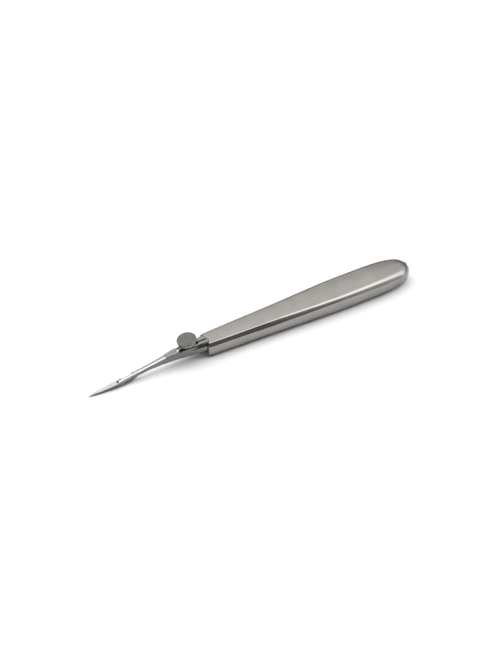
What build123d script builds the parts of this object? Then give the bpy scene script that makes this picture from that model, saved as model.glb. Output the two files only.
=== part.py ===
from build123d import *
from math import radians, sin
import os

# Straight suture needle with a sliding eye gate (Reverdin pattern), lying on its
# flat underside.  Millimetres.  X runs from the point to the butt, Z is up, and
# the origin is under the middle of the instrument on the surface it lies on.
# A "station" is a distance from the needle's point along X.

# ---------------------------------------------------------------- hollow handle
TOTAL_LENGTH = 180.0
HANDLE_FRONT = 62.2          # station of the handle's front edge, on its centre line
MOUTH_RADIUS = 5.6           # the front edge is hollowed to this radius round the neck
HORN_STATION = 59.4          # where the mouth's two sides end
FRONT_ROUND = 2.8            # length over which the plan outline rounds in at the front
FRONT_TUCK = 0.9             # how far it rounds in
BELLY = 155.0                # station of the handle's widest point
FRONT_HALF_WIDTH = 5.25
BELLY_HALF_WIDTH = 9.2
FRONT_FLARE = 0.046          # slope of the plan outline behind the front
FRONT_DEPTH = 8.3            # handle thickness at its front end
BELLY_DEPTH = 9.1
BUTT_ROUND = 9.0             # length over which the top and underside round off
BEVEL = 1.5                  # bevel along the handle's four long edges
BEVEL_GROWTH = 3.1           # the bevels widen by this much into the round butt
SOFT_START = 125.0           # station where the bevels start to turn into round corners
SOFT_LENGTH = 57.0
BUTT_SPANS = [(0, 40), (40, 58), (58, 76), (76, 88)]
UNDERSIDE_FLAT = 0.1         # depth that is ground off the underside to make it flat
SHEET = 0.8                  # wall of the pressed handle halves
BRAZE = 0.05                 # gap that the braze fills
PLUG_END = 72.0

# ------------------------------------------------------- needle shaft and point
GROOVE_SLOPE = 0.163         # fall of the shaft towards its point
NECK_START = 44.0            # station where the thin shaft starts to flare
NECK_START_TOP = 7.12        # height of the shaft's flat top there
NECK_LEVEL_START = 58.0      # the neck's top is level from here to the handle
NECK_LEVEL = 8.1
HEAD_END = 24.5              # station where the lance head meets the shaft
SEAT_START = 14.5            # front end of the groove, in the head
EYE_START = 17.0
EYE_END = 22.2
EYE_DEPTH = 1.75             # depth of the thread eye below the flat top
TANG_WIDTH = 4.6
TANG_HEIGHT = 3.4
TANG_END = 86.0

# -------------------------------------------------------- slide and thumb button
FIT = 0.04                   # running clearance on each side of the slide
GATE_FRONT = 15.3
GATE_TOP_WIDTH = 1.3         # the gate strip is a shallow dovetail
GATE_BASE_WIDTH = 1.5
GATE_THICKNESS = 0.7
GATE_CROWN = 0.08            # its polished top stands this far proud of the shaft
BRIDGE_START = 39.8          # the plate that bridges the groove before the window
BRIDGE_END = 45.6
BRIDGE_THICKNESS = 0.5
WINDOW_START = 46.0
WINDOW_END = 57.0
WINDOW_WIDTH = 2.8
SLIT_WIDTH = 0.8
SLIT_END = 61.2
CARRIAGE_FRONT = 48.2
LUG_LENGTH = 1.2
FOOT_TOP = -2.7              # heights above the line of the shaft's flat top
FOOT_BASE = -3.5
FOOT_WIDTH = 2.5
FOOT_LENGTH = 4.4
BLADE_WIDTH = 0.6
BLADE_LENGTH = 2.4
BUTTON_STATION = 51.8
BUTTON_RADIUS = 4.7
BUTTON_UNDERSIDE = 2.4
BUTTON_THICKNESS = 1.8
COLLAR_RADIUS = 1.7
COLLAR_BASE = 0.25
TENON_RADIUS = 0.8
TENON_TOP = 3.5
RIB_PITCH = 0.8
RIB_DEPTH = 0.28


def along(station):
    """X of a distance from the point."""
    return station - TOTAL_LENGTH / 2


def flat_top(station):
    """Height of the straight line along the shaft's flat top."""
    return NECK_START_TOP + (station - NECK_START) * GROOVE_SLOPE


def slope_length(start, end):
    """Distance between two stations, measured along the sloping flat top."""
    return (end - start) * (1 + GROOVE_SLOPE**2) ** 0.5


def on_top(station):
    """Plane on the flat top: x runs back along it, y across it, z out of it."""
    origin = (along(station), 0, flat_top(station))
    return Plane(origin=origin, x_dir=(1, 0, GROOVE_SLOPE), z_dir=(-GROOVE_SLOPE, 0, 1))


def square_to_slide(station):
    """Plane across the slide: x is +Y, y stands out of the flat top, z runs back."""
    origin = (along(station), 0, flat_top(station))
    return Plane(origin=origin, x_dir=(0, 1, 0), z_dir=(1, 0, GROOVE_SLOPE))


def side_on(station):
    """Plane seen from the side: x runs back along the flat top, y out of it."""
    origin = (along(station), 0, flat_top(station))
    return Plane(origin=origin, x_dir=(1, 0, GROOVE_SLOPE), z_dir=(0, -1, 0))


# ------------------------------------------------------------------ hollow handle
def rounded_end(run, power):
    """Fall from 1 to 0 of a rounded end, as run goes from 0 to 1."""
    return (1 - max(run, 0.0) ** power) ** 0.5


def handle_half_width(station):
    if station > BELLY:
        return BELLY_HALF_WIDTH * rounded_end((station - BELLY) / (TOTAL_LENGTH - BELLY), 3.1)
    length = BELLY - HANDLE_FRONT
    run = max(station - HANDLE_FRONT, 0) / length
    swell = run * run * (3 - 2 * run)
    flare = run * (1 - run) ** 2 * length * FRONT_FLARE
    tuck = FRONT_TUCK * (max(HANDLE_FRONT - station, 0) / FRONT_ROUND) ** 2
    return FRONT_HALF_WIDTH + (BELLY_HALF_WIDTH - FRONT_HALF_WIDTH) * swell + flare - tuck


def handle_mid_height(station):
    """Height of the seam between the two halves, half of the handle's thickness."""
    taper = (BELLY_DEPTH - FRONT_DEPTH) / (BELLY - HANDLE_FRONT)
    return (FRONT_DEPTH + taper * (station - HANDLE_FRONT)) / 2


def handle_half_depth(station):
    """Half of the thickness before the underside is ground flat."""
    run = (station - TOTAL_LENGTH + BUTT_ROUND) / BUTT_ROUND
    return (handle_mid_height(station) + UNDERSIDE_FLAT) * rounded_end(run, 3.5)


def handle_section(station, inset, curved):
    """Octagonal section whose bevels curve into round corners towards the butt."""
    soft = min(max((station - SOFT_START) / SOFT_LENGTH, 0.0), 1.0)
    width = handle_half_width(station) - inset
    depth = handle_half_depth(station) - inset
    full_corner = BEVEL + BEVEL_GROWTH * soft**2
    largest_corner = 0.86 * handle_half_depth(station)
    corner = (full_corner**-6 + largest_corner**-6) ** (-1 / 6) - 0.586 * inset
    flat_control = corner * (0.5 - 0.5 * soft)
    mid = handle_mid_height(station)
    with BuildSketch(Plane.YZ.offset(along(station))) as section:
        with BuildLine():
            for side, level in ((1, 1), (-1, 1), (-1, -1), (1, -1)):
                beside = (side * width, mid + level * (depth - corner))
                control = (side * (width - flat_control), mid + level * (depth - flat_control))
                above = (side * (width - corner), mid + level * depth)
                if curved:
                    Bezier(beside, control, above)
                else:
                    Line(beside, above)
            for level in (1, -1):
                Line((width - corner, mid + level * depth), (corner - width, mid + level * depth))
            for side in (1, -1):
                Line((side * width, mid + depth - corner), (side * width, mid - depth + corner))
        make_face()
    return section.sketch


def butt_stations(first_angle, last_angle):
    """Four stations that close up towards the butt, as equal angles on a round end do."""
    reach = TOTAL_LENGTH - BELLY
    step = (last_angle - first_angle) / 3
    return [BELLY + reach * sin(radians(first_angle + step * count)) for count in range(4)]


def mouth(radius, depth):
    """Plan outline in front of the handle: a bullet shape that ends round in the mouth."""
    centre = HANDLE_FRONT - MOUTH_RADIUS
    with BuildSketch(Plane.XY.offset(-1)) as outline:
        with Locations((along(centre), 0)):
            Circle(radius)
        with Locations((along(centre - depth / 2), 0)):
            Rectangle(depth, 2 * radius)
    return outline.sketch


def handle_form(inset, butt_spans, rounded):
    """Solid of the handle's outside, or of its hollow when an inset is given."""
    straight_spans = [(58.2, 59.5, 60.8, HANDLE_FRONT), (HANDLE_FRONT, 78, 94, 110, SOFT_START)]
    rear_spans = [(SOFT_START, 135, 145, BELLY)]
    rear_spans += [butt_stations(*angles) for angles in butt_spans]
    with BuildPart() as form:
        for span in straight_spans:
            loft(sections=[handle_section(station, inset, False) for station in span])
        for span in rear_spans:
            loft(sections=[handle_section(station, inset, rounded) for station in span])
    return form.part


handle_outside = handle_form(0.0, BUTT_SPANS, True)
handle_hollow = handle_form(SHEET, BUTT_SPANS[:2], False)
SEAM = Plane(
    origin=(along(HANDLE_FRONT), 0, handle_mid_height(HANDLE_FRONT)),
    x_dir=(0, 1, 0),
    z_dir=(handle_mid_height(HANDLE_FRONT) - handle_mid_height(HANDLE_FRONT + 1), 0, 1),
)

with BuildPart() as handle_upper_shell:
    add(handle_outside)
    add(handle_hollow, mode=Mode.SUBTRACT)
    split(bisect_by=SEAM, keep=Keep.TOP)
    split(bisect_by=Plane.YZ.offset(along(HORN_STATION)), keep=Keep.TOP)
    extrude(mouth(MOUTH_RADIUS, 6), amount=12, mode=Mode.SUBTRACT)

with BuildPart() as handle_lower_shell:
    add(handle_outside)
    add(handle_hollow, mode=Mode.SUBTRACT)
    split(bisect_by=SEAM, keep=Keep.BOTTOM)
    split(bisect_by=Plane.YZ.offset(along(HORN_STATION)), keep=Keep.TOP)
    extrude(mouth(MOUTH_RADIUS, 6), amount=12, mode=Mode.SUBTRACT)
    split(bisect_by=Plane.XY, keep=Keep.TOP)

# The block that closes the front of the hollow handle and carries the tang.
with BuildPart() as front_plug:
    add(handle_form(SHEET + BRAZE, [], False))
    split(bisect_by=Plane.YZ.offset(along(HORN_STATION)), keep=Keep.TOP)
    split(bisect_by=Plane.YZ.offset(along(PLUG_END)), keep=Keep.BOTTOM)
    extrude(mouth(MOUTH_RADIUS, 6), amount=12, mode=Mode.SUBTRACT)
    with BuildSketch(Plane.YZ.offset(along(HORN_STATION))):
        with Locations((0, handle_mid_height(HANDLE_FRONT))):
            Rectangle(TANG_WIDTH + 2 * BRAZE, TANG_HEIGHT + 2 * BRAZE)
    extrude(amount=PLUG_END - HORN_STATION, mode=Mode.SUBTRACT)


# ------------------------------------------------------- needle shaft, in one piece
def shank_section(station, half_width, base, top, belly_radius):
    """Flat-topped section with a rounded underside."""
    with BuildSketch(Plane.YZ.offset(along(station))) as section:
        with Locations((0, (base + top) / 2)):
            outline = Rectangle(2 * half_width, top - base)
        fillet(outline.vertices().sort_by(Axis.Z)[:2], belly_radius)
    return section.sketch


def cheek_section(station, radius, height):
    """Round section of the neck's bulging cheeks."""
    with BuildSketch(Plane.YZ.offset(along(station))) as section:
        with Locations((0, height)):
            Circle(radius)
    return section.sketch


def gate_section(plane, clearance, crown):
    """Shallow dovetail section of the gate strip, or of its groove with clearance."""
    top = GATE_TOP_WIDTH / 2 + clearance
    base = GATE_BASE_WIDTH / 2 + clearance
    depth = GATE_THICKNESS + clearance
    with BuildSketch(plane) as section:
        with BuildLine():
            Polyline((top, 0), (base, -depth), (-base, -depth), (-top, 0))
            ThreePointArc((-top, 0), (0, crown), (top, 0))
        make_face()
    return section.sketch


# The lance head: its side outline crossed with its plan outline.
with BuildPart() as lance_head:
    with BuildSketch(Plane.XZ):
        with BuildLine():
            Polyline(
                (along(HEAD_END), 2.2),
                (along(HEAD_END), flat_top(HEAD_END)),
                (along(SEAT_START), flat_top(SEAT_START)),
                (along(4), 1.15),
                (along(0), 0.55),
                (along(0), 0.45),
                (along(2.5), 0.12),
                (along(12), 0.1),
            )
            Spline(
                (along(12), 0.1),
                (along(17), 0.36),
                (along(22), 1.15),
                (along(HEAD_END), 2.2),
                tangents=[(1, 0), (1, 0.4)],
            )
        make_face()
    extrude(amount=3, both=True)
    with BuildSketch(Plane.XY):
        with BuildLine():
            Spline((along(0), 0.06), (along(8), 1.03), (along(14.5), 1.36), (along(HEAD_END), 1.1))
            Line((along(HEAD_END), 1.1), (along(HEAD_END), 0))
            Line((along(HEAD_END), 0), (along(0), 0))
            Line((along(0), 0), (along(0), 0.06))
        make_face()
        mirror(about=Plane.XZ)
    extrude(amount=10, both=True, mode=Mode.INTERSECT)

# The stem: a thin flat-topped shaft, then a neck that swells into round cheeks and
# fills the handle's mouth.
with BuildPart() as stem:
    shaft_sections = [
        shank_section(HEAD_END, 1.1, 2.2, 4.2, 0.4),
        shank_section(31, 1.14, 3.05, 5.3, 0.48),
        shank_section(37.5, 1.38, 3.37, 6.3, 0.6),
        shank_section(NECK_START, 1.85, 3.32, 7.42, 0.9),
    ]
    loft(sections=shaft_sections, ruled=True)
    loft(sections=[
        shank_section(NECK_START, 1.85, 3.32, 7.42, 0.9),
        shank_section(50, 2.32, 2.8, 8.5, 1.55),
        shank_section(56, 2.58, 2.1, 8.7, 2.1),
        shank_section(HANDLE_FRONT, 3.0, 1.4, 8.7, 2.6),
    ])
    loft(sections=[
        cheek_section(50, 2.1, 5.15),
        cheek_section(54, 2.95, 5.18),
        cheek_section(58, 3.5, 5.08),
        cheek_section(HANDLE_FRONT, 3.9, 5.0),
    ])
    # the flat top slopes up along the shaft and levels out over the neck
    with BuildSketch(Plane.XZ):
        with BuildLine():
            Line((along(HEAD_END), flat_top(HEAD_END)), (along(NECK_START), NECK_START_TOP))
            Spline(
                (along(NECK_START), NECK_START_TOP),
                (along(NECK_LEVEL_START), NECK_LEVEL),
                tangents=[(1, GROOVE_SLOPE), (1, 0)],
            )
            Polyline(
                (along(NECK_LEVEL_START), NECK_LEVEL),
                (along(HANDLE_FRONT + 1), NECK_LEVEL),
                (along(HANDLE_FRONT + 1), 12),
                (along(HEAD_END), 12),
                (along(HEAD_END), flat_top(HEAD_END)),
            )
        make_face()
    extrude(amount=6, both=True, mode=Mode.SUBTRACT)
    # the rear end is round, to fit the handle's mouth
    extrude(mouth(MOUTH_RADIUS - BRAZE, 40), amount=12, mode=Mode.INTERSECT)

with BuildPart() as needle_shaft:
    add(stem.part)
    add(lance_head.part)
    # tang, held in the front plug
    with BuildSketch(Plane.YZ.offset(along(HANDLE_FRONT - 1))):
        with Locations((0, handle_mid_height(HANDLE_FRONT))):
            Rectangle(TANG_WIDTH, TANG_HEIGHT)
    extrude(amount=TANG_END - HANDLE_FRONT + 1)
    # dovetail groove, from the seat in the head back to the window
    groove_length = slope_length(SEAT_START, WINDOW_START + 2)
    groove = gate_section(square_to_slide(SEAT_START), FIT, 0.6)
    extrude(groove, amount=groove_length, mode=Mode.SUBTRACT)
    # thread eye, open at the top until the gate closes it
    eye_length = slope_length(EYE_START, EYE_END)
    with BuildSketch(side_on(EYE_START)):
        with Locations((eye_length / 2, 0)):
            eye = Rectangle(eye_length, 2 * EYE_DEPTH)
        fillet(eye.vertices(), 0.7)
    extrude(amount=3, both=True, mode=Mode.SUBTRACT)
    # window for the carriage, round at both ends
    window_length = slope_length(WINDOW_START, WINDOW_END)
    with BuildSketch(on_top(WINDOW_START).offset(FOOT_BASE - FIT)):
        with Locations((window_length / 2, 0)):
            SlotOverall(window_length, WINDOW_WIDTH)
    extrude(amount=6, mode=Mode.SUBTRACT)
    # channel behind the window, where the carriage's foot runs under the neck's roof
    channel_start = WINDOW_START + WINDOW_WIDTH
    channel_length = slope_length(channel_start, SLIT_END)
    with BuildSketch(on_top(channel_start).offset(FOOT_BASE - FIT)):
        with Locations((channel_length / 2, 0)):
            Rectangle(channel_length, WINDOW_WIDTH)
    extrude(amount=FOOT_TOP - FOOT_BASE + 2 * FIT, mode=Mode.SUBTRACT)
    # slit in that roof for the carriage's blade
    with BuildSketch(on_top(channel_start).offset(FOOT_BASE)):
        with Locations((channel_length / 2, 0)):
            Rectangle(channel_length, SLIT_WIDTH)
    extrude(amount=6, mode=Mode.SUBTRACT)

# The plate that bridges the groove in front of the window and holds the gate down.
with BuildPart() as bridge_plate:
    bridge_length = slope_length(BRIDGE_START, BRIDGE_END)
    with BuildSketch(on_top(BRIDGE_START)):
        with BuildLine():
            Polyline(
                (0, 1.44),
                (bridge_length, 1.98),
                (bridge_length, -1.98),
                (0, -1.44),
                close=True,
            )
        make_face()
    extrude(amount=BRIDGE_THICKNESS)
    chamfer(bridge_plate.faces().sort_by(Axis.Z)[-1].edges(), 0.18)
    with BuildSketch(square_to_slide(BRIDGE_START)):
        Rectangle(GATE_TOP_WIDTH + 4 * FIT, 2 * (GATE_CROWN + FIT))
    extrude(amount=bridge_length, mode=Mode.SUBTRACT)

# ------------------------------------------------------------------------- slide
# The gate: a polished dovetail strip that closes the thread eye.
with BuildPart() as gate_strip:
    gate_front = gate_section(square_to_slide(GATE_FRONT), 0, GATE_CROWN)
    extrude(gate_front, amount=slope_length(GATE_FRONT, CARRIAGE_FRONT))

# The carriage: a lug that takes the strip, a foot under the neck's roof, a thin
# blade that runs in the slit, and a tenon for the button.
with BuildPart() as carriage:
    lug_length = slope_length(CARRIAGE_FRONT, CARRIAGE_FRONT + LUG_LENGTH)
    with BuildSketch(on_top(CARRIAGE_FRONT).offset(FOOT_BASE)):
        with Locations((lug_length / 2, 0)):
            Rectangle(lug_length, GATE_TOP_WIDTH)
    extrude(amount=-FOOT_BASE)
    with BuildSketch(on_top(CARRIAGE_FRONT + LUG_LENGTH).offset(FOOT_BASE)):
        with Locations((FOOT_LENGTH / 2, 0)):
            RectangleRounded(FOOT_LENGTH, FOOT_WIDTH, 0.3)
    extrude(amount=FOOT_TOP - FOOT_BASE)
    with BuildSketch(on_top(BUTTON_STATION).offset(FOOT_TOP)):
        Rectangle(BLADE_LENGTH, BLADE_WIDTH)
    extrude(amount=COLLAR_BASE - FOOT_TOP)
    with BuildSketch(on_top(BUTTON_STATION).offset(COLLAR_BASE)):
        Circle(TENON_RADIUS)
    extrude(amount=TENON_TOP - COLLAR_BASE)

# The thumb button: collar and crowned disc, ribbed across for grip.
with BuildPart() as thumb_button:
    with BuildSketch(on_top(BUTTON_STATION).offset(COLLAR_BASE)):
        Circle(COLLAR_RADIUS)
    extrude(amount=BUTTON_UNDERSIDE - COLLAR_BASE)
    with BuildSketch(on_top(BUTTON_STATION).offset(BUTTON_UNDERSIDE)):
        Circle(BUTTON_RADIUS)
    extrude(amount=BUTTON_THICKNESS)
    chamfer(thumb_button.edges().filter_by(GeomType.CIRCLE).sort_by(Axis.Z)[-1], 0.25)
    with BuildSketch(on_top(BUTTON_STATION).offset(COLLAR_BASE)):
        Circle(TENON_RADIUS + BRAZE)
    extrude(amount=TENON_TOP - COLLAR_BASE + BRAZE, mode=Mode.SUBTRACT)
    rib_count = int(2 * BUTTON_RADIUS / RIB_PITCH)
    with BuildSketch(side_on(BUTTON_STATION)):
        with Locations((0, BUTTON_UNDERSIDE + BUTTON_THICKNESS)):
            with GridLocations(RIB_PITCH, 1, rib_count, 1):
                RegularPolygon(RIB_DEPTH, 4, rotation=0)
    extrude(amount=BUTTON_RADIUS + 1, both=True, mode=Mode.SUBTRACT)

# ------------------------------------------------------------------------ export
pieces = {
    "handle_upper_shell": handle_upper_shell,
    "handle_lower_shell": handle_lower_shell,
    "front_plug": front_plug,
    "needle_shaft": needle_shaft,
    "bridge_plate": bridge_plate,
    "gate_strip": gate_strip,
    "carriage": carriage,
    "thumb_button": thumb_button,
}
os.makedirs("parts", exist_ok=True)
for label, piece in pieces.items():
    piece.part.label = label
    export_step(piece.part, f"parts/{label}.step")
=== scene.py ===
from math import cos, pi, radians, sin, sqrt

import bmesh
import bpy
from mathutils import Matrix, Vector


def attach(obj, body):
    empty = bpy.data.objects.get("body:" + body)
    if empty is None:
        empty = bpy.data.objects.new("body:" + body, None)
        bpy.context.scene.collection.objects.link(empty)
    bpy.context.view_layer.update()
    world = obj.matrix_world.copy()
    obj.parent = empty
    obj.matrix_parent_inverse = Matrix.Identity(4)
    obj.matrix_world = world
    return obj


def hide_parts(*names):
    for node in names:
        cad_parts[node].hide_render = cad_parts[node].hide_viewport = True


MM = 0.001
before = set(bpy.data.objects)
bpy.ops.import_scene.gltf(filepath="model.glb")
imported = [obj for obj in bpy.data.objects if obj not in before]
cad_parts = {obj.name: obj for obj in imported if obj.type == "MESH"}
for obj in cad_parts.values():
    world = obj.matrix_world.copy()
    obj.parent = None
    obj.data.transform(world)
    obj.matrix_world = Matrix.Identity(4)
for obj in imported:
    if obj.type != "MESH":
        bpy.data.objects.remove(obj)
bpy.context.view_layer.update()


# ------------------------------------------------------------------- material kit
class Nodes:
    """A node material under construction; each call adds one node and wires it."""

    def __init__(self, name):
        self.material = bpy.data.materials.new(name)
        self.material.use_nodes = True
        self.tree = self.material.node_tree
        self.shader = self.tree.nodes["Principled BSDF"]

    def add(self, kind, inputs=None, **settings):
        node = self.tree.nodes.new(kind)
        for key, value in settings.items():
            setattr(node, key, value)
        for key, value in (inputs or {}).items():
            self.feed(node.inputs[key], value)
        return node

    def feed(self, socket, value):
        if isinstance(value, bpy.types.NodeSocket):
            self.tree.links.new(value, socket)
        else:
            socket.default_value = value

    def mapped(self, scale):
        """Object coordinates stretched by scale, for grain that runs along the piece."""
        place = self.add("ShaderNodeTexCoord").outputs["Object"]
        return self.add("ShaderNodeMapping", {"Vector": place, "Scale": scale}).outputs[0]

    def noise(self, vector, scale, detail=3.0, roughness=0.55):
        inputs = {"Vector": vector, "Scale": scale, "Detail": detail, "Roughness": roughness}
        return self.add("ShaderNodeTexNoise", inputs).outputs["Fac"]

    def ramp(self, value, low, high, to_low, to_high):
        inputs = {"Value": value, "From Min": low, "From Max": high, "To Min": to_low, "To Max": to_high}
        return self.add("ShaderNodeMapRange", inputs).outputs["Result"]

    def tint(self, value, dark, light):
        node = self.add("ShaderNodeMix", data_type="RGBA")
        self.feed(node.inputs["Factor"], value)
        node.inputs["A"].default_value = (*dark, 1)
        node.inputs["B"].default_value = (*light, 1)
        return node.outputs["Result"]


def position(m, axis):
    """The point's own X, Y or Z in metres."""
    return m.add("ShaderNodeSeparateXYZ", {0: m.mapped((1, 1, 1))}).outputs[axis]


def facing_up(m):
    """1 on faces that look up, 0 on upright ones, -1 on faces that look down."""
    normal = m.add("ShaderNodeNewGeometry").outputs["Normal"]
    return m.add("ShaderNodeSeparateXYZ", {0: normal}).outputs["Z"]


def steel(
    name, dark, light, rough, grain, bump,
    edge_radius=0.00012, clouds=0.0, side_shade=1.0, painted_light_zones=(), glints=(),
):
    """Bare stainless steel with a directional grain.

    Upright walls are painted darker, to side_shade of the brightness, as painted shade.
    The zone entries paint light or shade along an axis: (axis, from, to, scale before, scale after).
    glints do the same, but only where the face looks straight up: painted highlights.
    """
    m = Nodes(name)
    lines = m.noise(m.mapped(grain), 1.0, 4.0)
    patches = m.noise(m.mapped((1, 1, 1)), 130.0, 3.0)
    shade = m.add("ShaderNodeMath", {0: patches, 1: clouds, 2: lines}, operation="MULTIPLY_ADD")
    tint = m.tint(m.ramp(shade.outputs[0], 0.3 + clouds * 0.35, 0.7 + clouds * 0.65, 0, 1), dark, light)
    up = facing_up(m)
    above = m.ramp(up, 0.3, 0.75, 0, 1)
    below = m.ramp(up, -0.15, -0.45, 0, 1)
    level = m.add("ShaderNodeMath", {0: above, 1: below}, operation="MAXIMUM").outputs[0]
    # Painted shade: upright walls darker than faces that look up or down.
    strength = m.ramp(level, 0, 1, side_shade, 1)
    # Painted light and shade along an axis.
    for axis, start, end, before, after in painted_light_zones:
        scale = m.ramp(position(m, axis), start, end, before, after)
        strength = m.add("ShaderNodeMath", {0: scale, 1: strength}, operation="MULTIPLY").outputs[0]
    # Painted highlight, only on faces that look straight up.
    flat = m.ramp(up, 0.85, 0.97, 0, 1)
    for axis, start, end, before, after in glints:
        scale = m.ramp(flat, 0, 1, 1, m.ramp(position(m, axis), start, end, before, after))
        strength = m.add("ShaderNodeMath", {0: scale, 1: strength}, operation="MULTIPLY").outputs[0]
    scaled = m.add("ShaderNodeVectorMath", {0: tint}, operation="SCALE")
    m.feed(scaled.inputs["Scale"], strength)
    m.feed(m.shader.inputs["Base Color"], scaled.outputs[0])
    m.feed(m.shader.inputs["Roughness"], m.ramp(patches, 0.35, 0.65, *rough))
    m.shader.inputs["Metallic"].default_value = 1.0
    soft_edge = m.add("ShaderNodeBevel", {"Radius": edge_radius}, samples=4)
    raised = m.add("ShaderNodeBump", {"Height": lines, "Distance": bump, "Normal": soft_edge.outputs[0]})
    raised.inputs["Strength"].default_value = 1.0
    m.feed(m.shader.inputs["Normal"], raised.outputs[0])
    return m.material


HEAD_START, HEAD_END = -0.0760, -0.0735      # X where the needle's head turns into the shank

satin = steel(
    "satin steel", (0.31, 0.296, 0.28), (0.37, 0.355, 0.338), (0.18, 0.23),
    (70, 2200, 2200), 0.3e-6, edge_radius=0.00004, clouds=1.2,
    painted_light_zones=[
        ("Z", 0.0003, 0.0020, 0.12, 0.8),    # painted shade: dark foot beside the floor
        ("Z", 0.0018, 0.0050, 1.0, 1.2),     # painted light: side wall lighter upwards
        ("X", 0.062, 0.080, 1.0, 0.84),      # painted shade: darker butt
    ])
# Upright walls painted darker as shade; the head painted darker, with a painted glint on its flat top.
polished = steel(
    "polished steel", (0.215, 0.208, 0.202), (0.30, 0.292, 0.285), (0.10, 0.18),
    (150, 1500, 1500), 0.4e-6, side_shade=0.75,
    painted_light_zones=[("X", HEAD_START, HEAD_END, 0.8, 1.0)],
    glints=[("X", HEAD_START, HEAD_END, 2.6, 1.0)])
# A lighter copy of the polished steel: its brighter base colour is a painted sheen on the gate strip,
# its lower roughness is its own polish; upright walls painted darker as shade.
painted_sheen_steel = steel(
    "painted sheen steel", (0.52, 0.52, 0.52), (0.62, 0.62, 0.62), (0.06, 0.12),
    (150, 1500, 1500), 0.2e-6, side_shade=0.4)
dull = steel(
    "ribbed steel", (0.09, 0.087, 0.085), (0.34, 0.333, 0.325), (0.22, 0.36),
    (2200, 2200, 2200), 3e-6)

finish_of = {
    "handle_upper_shell": satin,
    "handle_lower_shell": satin,
    "front_plug": satin,
    "needle_shaft": polished,
    "bridge_plate": polished,
    "gate_strip": painted_sheen_steel,
    "carriage": polished,
    "thumb_button": dull,
}
for node, finish in finish_of.items():
    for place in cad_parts[node].material_slots:
        place.material = finish


# ------------------------------------------------------------------- handle
# The two pressed halves again, with rolled edges and a slight crown.  Their outline has
# the CAD part's sizes, in millimetres; a station is a distance from the needle's point.
LENGTH, FRONT, BELLY = 180.0, 62.2, 155.0
FRONT_HALF_WIDTH, BELLY_HALF_WIDTH = 5.25, 9.2
FRONT_DEPTH, BELLY_DEPTH = 8.3, 9.1
FRONT_FLARE = 0.046
FRONT_ROUND, FRONT_TUCK = 2.8, 0.9
MOUTH_RADIUS = 5.6
MOUTH_LIP = 1.4               # how far the sheet's inner edge is seen inside the mouth
BUTT_ROUND = 9.0
UNDERSIDE_FLAT = 0.1
SHEET = 0.8
CROWN = 0.13
EDGE = 0.45                   # round on each edge of the bevel
BEVEL_ACROSS, BEVEL_DOWN = 1.2, 2.15
LARGEST_BEVEL = 0.94          # share of the half width or depth that a bevel can take
CIRCLE = 0.5523               # handle length of a curve that follows a quarter circle
CORNER_STEPS, BEVEL_STEPS, TOP_POINTS = 5, 12, 6
BODY_START, BODY_RINGS, BUTT_RINGS = 63.5, 46, 30


def rounded_end(run, power):
    return sqrt(max(1 - max(run, 0.0) ** power, 0.0))


def half_width(station):
    if station > BELLY:
        return BELLY_HALF_WIDTH * rounded_end((station - BELLY) / (LENGTH - BELLY), 3.1)
    run = max(station - FRONT, 0) / (BELLY - FRONT)
    swell = (BELLY_HALF_WIDTH - FRONT_HALF_WIDTH) * run * run * (3 - 2 * run)
    flare = run * (1 - run) ** 2 * (BELLY - FRONT) * FRONT_FLARE
    tuck = FRONT_TUCK * (max(FRONT - station, 0) / FRONT_ROUND) ** 2
    return FRONT_HALF_WIDTH + swell + flare - tuck


def mid_height(station):
    growth = (BELLY_DEPTH - FRONT_DEPTH) * (station - FRONT) / (BELLY - FRONT)
    return (FRONT_DEPTH + growth) / 2


def half_depth(station):
    butt = rounded_end((station - LENGTH + BUTT_ROUND) / BUTT_ROUND, 3.5)
    return (mid_height(station) + UNDERSIDE_FLAT) * butt


def curve(a, b, c, d, steps):
    """Points of a curve from a to d that leaves towards b and arrives from c; the last is left out."""
    points = []
    for count in range(steps):
        t = count / steps
        r = 1 - t
        points.append(a * r**3 + b * 3 * r * r * t + c * 3 * r * t * t + d * t**3)
    return points


def rounded_corner(before, corner, after, steps):
    """The same for a small round on a corner."""
    return curve(before, before.lerp(corner, 2 / 3), after.lerp(corner, 2 / 3), after, steps)


def softer_least(a, b):
    """The smaller of two lengths, with a smooth change from one to the other."""
    return (a**-8 + b**-8) ** (-1 / 8)


def share_between(value, low, high):
    return min(max((value - low) / (high - low), 0.0), 1.0)


def quarter(station, inset):
    """Section from the seam at the side to the middle of the top, as (across, up) points."""
    width = half_width(station) - inset
    depth = half_depth(station) - inset
    soft = share_between(station, 90, 132)
    growth = share_between(station, 70, 128) ** 1.5
    rear = share_between(station, 130, 170)
    down = softer_least(BEVEL_DOWN + 0.7 * growth + 1.3 * rear, LARGEST_BEVEL * half_depth(station))
    across = softer_least(BEVEL_ACROSS + 1.8 * growth + 1.5 * rear, LARGEST_BEVEL * half_width(station))
    down -= 0.75 * inset
    across -= 0.35 * inset
    edge = min(EDGE, 0.4 * across)
    crown = min(CROWN, 0.2 * depth)
    beside = Vector((width, depth - down))
    above = Vector((width - across, depth - crown))
    rise = beside.lerp(above, 1 / 3).lerp(beside + Vector((0, CIRCLE * down)), soft)
    fall = beside.lerp(above, 2 / 3).lerp(above + Vector((CIRCLE * across, 0)), soft)
    first = beside + (rise - beside).normalized() * edge
    last = above + (fall - above).normalized() * edge
    below = beside - Vector((0, min(edge, 0.45 * (depth - down))))
    flat = width - across
    inside = above - Vector((min(edge, 0.45 * flat), -2 * crown * edge / max(flat, 0.1)))
    points = [Vector((width, 0)), Vector((width, below.y / 2))]
    points += rounded_corner(below, beside, first, CORNER_STEPS)
    points += curve(first, rise, fall, last, BEVEL_STEPS)
    points += rounded_corner(last, above, inside, CORNER_STEPS)
    for count in range(TOP_POINTS):
        run = inside.x * (1 - count / (TOP_POINTS - 1))
        points.append(Vector((run, depth - crown * (run / max(above.x, 0.01)) ** 2)))
    return points


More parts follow.
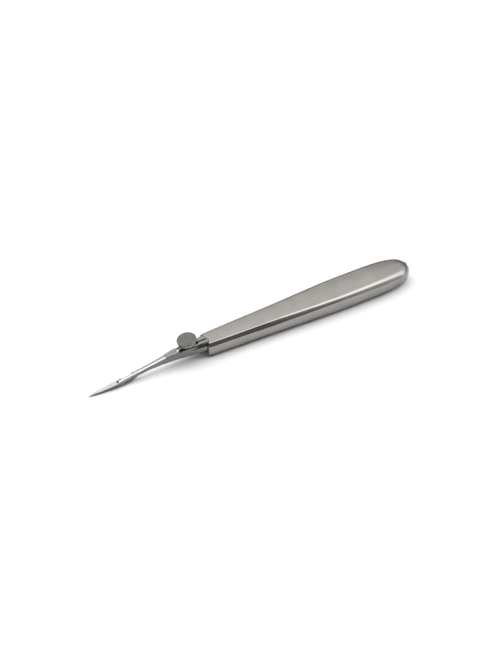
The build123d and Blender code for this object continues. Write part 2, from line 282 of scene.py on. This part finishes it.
def mouth_station(across):
    """Station of the mouth's edge at that distance from the middle."""
    return FRONT - MOUTH_RADIUS + sqrt(max(MOUTH_RADIUS**2 - across**2, 0.0))


def ring(level, inset, place):
    """One line of points round a half, each at the station that place gives for it."""
    count = len(quarter(80, 0))
    points = []
    for side in (1, -1):
        order = range(count) if side == 1 else range(count - 2, -1, -1)
        for index in order:
            station = place(half_width(FRONT))
            for _ in range(3):
                across = quarter(station, inset)[index].x
                station = place(across)
            across, up = quarter(station, inset)[index]
            height = max(mid_height(station) + level * up, 0.0)
            points.append(((station - LENGTH / 2) * MM, side * across * MM, height * MM))
    return points


def handle_rings(level):
    """The rings of one half, from the lip inside the mouth to the end of the butt."""
    rings = [
        ring(level, SHEET, lambda across: mouth_station(across) + MOUTH_LIP),
        ring(level, SHEET, mouth_station),
        ring(level, 0.2, mouth_station),
        ring(level, 0.06, lambda across: mouth_station(across) + 0.06),
        ring(level, 0.0, lambda across: mouth_station(across) + 0.2),
    ]
    for share in (0.25, 0.5, 0.75):
        rings.append(ring(
            level, 0.0, lambda across: mouth_station(across) * (1 - share) + BODY_START * share))
    for count in range(BODY_RINGS + 1):
        station = BODY_START + (BELLY - BODY_START) * count / BODY_RINGS
        rings.append(ring(level, 0.0, lambda across: station))
    for count in range(1, BUTT_RINGS + 1):
        station = BELLY + (LENGTH - BELLY) * sin(radians(89.2 * count / BUTT_RINGS))
        rings.append(ring(level, 0.0, lambda across: station))
    return rings


def handle_half(name, level):
    """Mesh of one half of the handle, standing for its CAD node."""
    mesh = bmesh.new()
    rows = [[mesh.verts.new(point) for point in row] for row in handle_rings(level)]
    for near, far in zip(rows, rows[1:]):
        for a, b, c, d in zip(near, near[1:], far[1:], far):
            mesh.faces.new((a, b, c, d))
    mesh.faces.new(rows[-1])
    bmesh.ops.recalc_face_normals(mesh, faces=mesh.faces)
    for face in mesh.faces:
        face.smooth = True
    data = bpy.data.meshes.new(name)
    mesh.to_mesh(data)
    mesh.free()
    data.materials.append(satin)
    obj = bpy.data.objects.new(name, data)
    bpy.context.collection.objects.link(obj)
    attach(obj, "instrument")
    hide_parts("handle_upper_shell" if level > 0 else "handle_lower_shell")
    return obj


handle_half("handle_upper_half", 1)
handle_half("handle_lower_half", -1)


# ------------------------------------------------------------------- studio
def floor():
    mesh = bpy.data.meshes.new("floor")
    reach = 3.0
    corners = [(-reach, -reach, 0), (reach, -reach, 0), (reach, reach, 0), (-reach, reach, 0)]
    mesh.from_pydata(corners, [], [(0, 1, 2, 3)])
    obj = bpy.data.objects.new("floor", mesh)
    bpy.context.collection.objects.link(obj)
    m = Nodes("white board")
    m.shader.inputs["Base Color"].default_value = (0.93, 0.93, 0.93, 1)
    m.shader.inputs["Roughness"].default_value = 0.6
    mesh.materials.append(m.material)


floor()

AWAY = Vector((sin(radians(31.1)), cos(radians(31.1)), 0))   # level direction away from the viewer
SKY = [
    # (degrees up from the viewer's horizon, over the top, to the far horizon; brightness)
    (0, 0.50), (12, 0.25), (30, 0.11), (48, 0.15), (64, 0.32), (78, 0.65),
    (88, 2.9), (110, 2.9),
    (118, 1.4), (128, 1.4), (140, 1.35), (148, 0.8), (160, 0.25), (176, 0.35), (180, 0.6),
]
GREY_WALL = 0.55             # brightness of the wall at the viewer's right


def studio_world():
    """A long soft light box overhead, grey walls behind it and a dim room on the viewer's side."""
    world = bpy.data.worlds.new("studio")
    world.use_nodes = True
    tree = world.node_tree

    def add(kind, *sources, **settings):
        node = tree.nodes.new(kind)
        for key, value in settings.items():
            setattr(node, key, value)
        for place, source in enumerate(sources):
            if isinstance(source, bpy.types.NodeSocket):
                tree.links.new(source, node.inputs[place])
            elif source is not None:
                node.inputs[place].default_value = source
        return node

    direction = add("ShaderNodeTexCoord").outputs["Generated"]
    towards = add("ShaderNodeVectorMath", direction, -AWAY, operation="DOT_PRODUCT").outputs["Value"]
    height = add("ShaderNodeSeparateXYZ", direction).outputs["Z"]
    angle = add("ShaderNodeMath", height, towards, operation="ARCTAN2").outputs[0]
    share = add("ShaderNodeMath", angle, pi, operation="DIVIDE").outputs[0]
    ramp = add("ShaderNodeValToRGB", share)
    sideways = add("ShaderNodeSeparateXYZ", direction).outputs["X"]
    right = add("ShaderNodeMapRange", sideways, 0.34, 0.52, 0.0, GREY_WALL).outputs[0]
    near = add("ShaderNodeMapRange", share, 0.42, 0.36, 0.0, 1.0).outputs[0]
    wall = add("ShaderNodeMath", right, near, operation="MULTIPLY").outputs[0]
    lit = add("ShaderNodeMath", ramp.outputs[0], wall, operation="ADD").outputs[0]
    ramp.color_ramp.interpolation = "EASE"
    while len(ramp.color_ramp.elements) < len(SKY):
        ramp.color_ramp.elements.new(0.5)
    for stop, (degrees_up, value) in zip(ramp.color_ramp.elements, SKY):
        stop.position = degrees_up / 180
        stop.color = (value, value, value, 1)
    tree.links.new(lit, tree.nodes["Background"].inputs["Color"])
    bpy.context.scene.world = world


studio_world()
bpy.context.scene.view_settings.view_transform = "Standard"

# ------------------------------------------------------------------- camera
AZIMUTH, ELEVATION, DISTANCE = radians(-31.08), radians(39.88), 0.55
back = Vector((sin(AZIMUTH) * cos(ELEVATION), -cos(AZIMUTH) * cos(ELEVATION), sin(ELEVATION)))
target = Vector((0, 0, 4 * MM))
camera_data = bpy.data.cameras.new("camera")
camera_data.sensor_width = 36.0
camera_data.lens = 62.79
camera_data.shift_x = -0.0117
camera_data.shift_y = 0.0005
camera_data.clip_start = 0.01
camera = bpy.data.objects.new("camera", camera_data)
camera.location = target + back * DISTANCE
camera.rotation_mode = "QUATERNION"
camera.rotation_quaternion = (-back).to_track_quat("-Z", "Y")
bpy.context.collection.objects.link(camera)
bpy.context.scene.camera = camera
